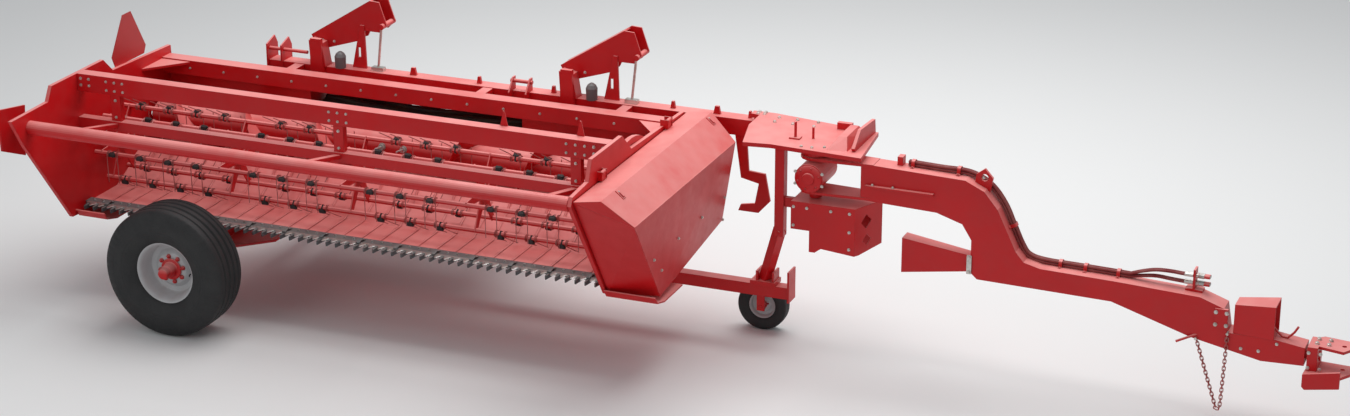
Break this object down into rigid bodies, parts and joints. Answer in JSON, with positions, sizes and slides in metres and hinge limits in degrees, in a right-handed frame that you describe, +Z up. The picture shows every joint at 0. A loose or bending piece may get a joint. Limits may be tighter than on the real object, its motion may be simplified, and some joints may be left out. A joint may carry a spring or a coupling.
{
  "type": "mower conditioner",
  "caption": "pull-type hay mower conditioner with reel, auger and conditioning rolls, parked on its wheels in line with its swung tongue for road transport",
  "frame": {"origin": "middle of the footprint of the whole object, on the ground under the tyres", "axes": "+X towards the hitch along the travel direction, +Y to the rear of the header, away from the cutterbar, +Z up"},
  "size_m": [9.51, 3.6, 2.06],
  "materials": {
    "red_paint": "semi-gloss",
    "dark_steel": "satin",
    "tyre": "matte",
    "rim_paint": "semi-gloss",
    "grey_paint": "satin",
    "zinc": "zinc plated",
    "roll_rubber": "matte",
    "hose": "satin",
    "marker_paint": "satin"
  },
  "bodies": {
    "header": {"left_end_panel": "red_paint", "right_end_panel": "red_paint", "front_push_tube": "red_paint", "push_tube_frame": "red_paint", "top_box_beam": "red_paint", "cutterbar": "dark_steel", "header_floor": "red_paint", "header_rear_wall": "red_paint", "rear_top_beam": "red_paint", "reel_end_arch": "red_paint", "conditioner_housing": "red_paint", "trail_frame_tube": "red_paint", "left_lift_arm": "red_paint", "right_lift_arm": "red_paint", "left_lift_cylinder": "grey_paint", "right_lift_cylinder": "grey_paint", "left_lift_rod": "zinc", "right_lift_rod": "zinc", "swivel_platform": "red_paint", "swivel_gearbox": "red_paint", "right_frame_leg": "red_paint", "left_frame_leg": "red_paint", "transport_chassis": "red_paint", "driveline_guard": "red_paint", "marker_plate": "marker_paint", "left_outboard_bracket": "red_paint", "stand_wheel_fork": "red_paint", "knife_drive_box": "dark_steel", "left_skid": "red_paint", "right_skid": "red_paint"},
    "front_wheel": {"front_wheel_tyre": "tyre", "front_wheel_rim": "rim_paint"},
    "rear_wheel": {"rear_wheel_tyre": "tyre", "rear_wheel_rim": "rim_paint"},
    "stand_wheel": {"stand_wheel_tyre": "tyre", "stand_wheel_rim": "rim_paint"},
    "tongue": {"tongue": "red_paint", "rear_pto_shield": "red_paint", "front_pto_shield": "red_paint", "hose_bundle": "hose", "hose_holder": "red_paint", "safety_chain": "zinc"},
    "hitch": {"hitch_clevis": "red_paint"},
    "reel": {"reel": "red_paint"},
    "auger": {"auger": "red_paint"},
    "upper_roll": {"upper_roll": "roll_rubber"},
    "lower_roll": {"lower_roll": "roll_rubber"},
    "swath_hood": {"swath_hood": "red_paint"},
    "drive_shield": {"drive_shield": "red_paint"}
  },
  "joints": [
    {"name": "front_wheel_spin", "type": "hinge", "parent": "header", "child": "front_wheel", "pos_m": [-3.555, -1.4, 0.4925], "axis": [0, 1, 0], "continuous": true},
    {"name": "rear_wheel_spin", "type": "hinge", "parent": "header", "child": "rear_wheel", "pos_m": [-3.555, 1.62, 0.4925], "axis": [0, 1, 0], "continuous": true},
    {"name": "stand_wheel_spin", "type": "hinge", "parent": "header", "child": "stand_wheel", "pos_m": [0.445, 0.26, 0.19], "axis": [0, 1, 0], "continuous": true},
    {"name": "tongue_swing", "type": "hinge", "parent": "header", "child": "tongue", "pos_m": [0.915, 0.02, 1.5], "axis": [0, 0, 1], "range_deg": [-90, 5]},
    {"name": "hitch_twist", "type": "hinge", "parent": "tongue", "child": "hitch", "pos_m": [4.445, 0.02, 0.53], "axis": [1, 0, 0], "range_deg": [-25, 25]},
    {"name": "reel_spin", "type": "hinge", "parent": "header", "child": "reel", "pos_m": [-2.435, -0.58, 1.09], "axis": [1, 0, 0], "continuous": true},
    {"name": "auger_spin", "type": "hinge", "parent": "header", "child": "auger", "pos_m": [-2.435, 0.06, 1.11], "axis": [1, 0, 0], "continuous": true},
    {"name": "upper_roll_spin", "type": "hinge", "parent": "header", "child": "upper_roll", "pos_m": [-2.435, 0.56, 1.15], "axis": [1, 0, 0], "continuous": true},
    {"name": "lower_roll_spin", "type": "hinge", "parent": "header", "child": "lower_roll", "pos_m": [-2.435, 0.6, 0.905], "axis": [1, 0, 0], "continuous": true},
    {"name": "swath_hood_hinge", "type": "hinge", "parent": "header", "child": "swath_hood", "pos_m": [-2.435, 1.045, 1.33], "axis": [1, 0, 0], "range_deg": [0, 60]},
    {"name": "drive_shield_hinge", "type": "hinge", "parent": "header", "child": "drive_shield", "pos_m": [-0.233, -0.59, 1.592], "axis": [0, -1, 0], "range_deg": [0, 35]}
  ],
  "couplings": [
    {"joint": "upper_roll_spin", "follows": "lower_roll_spin", "ratio": -1}
  ]
}
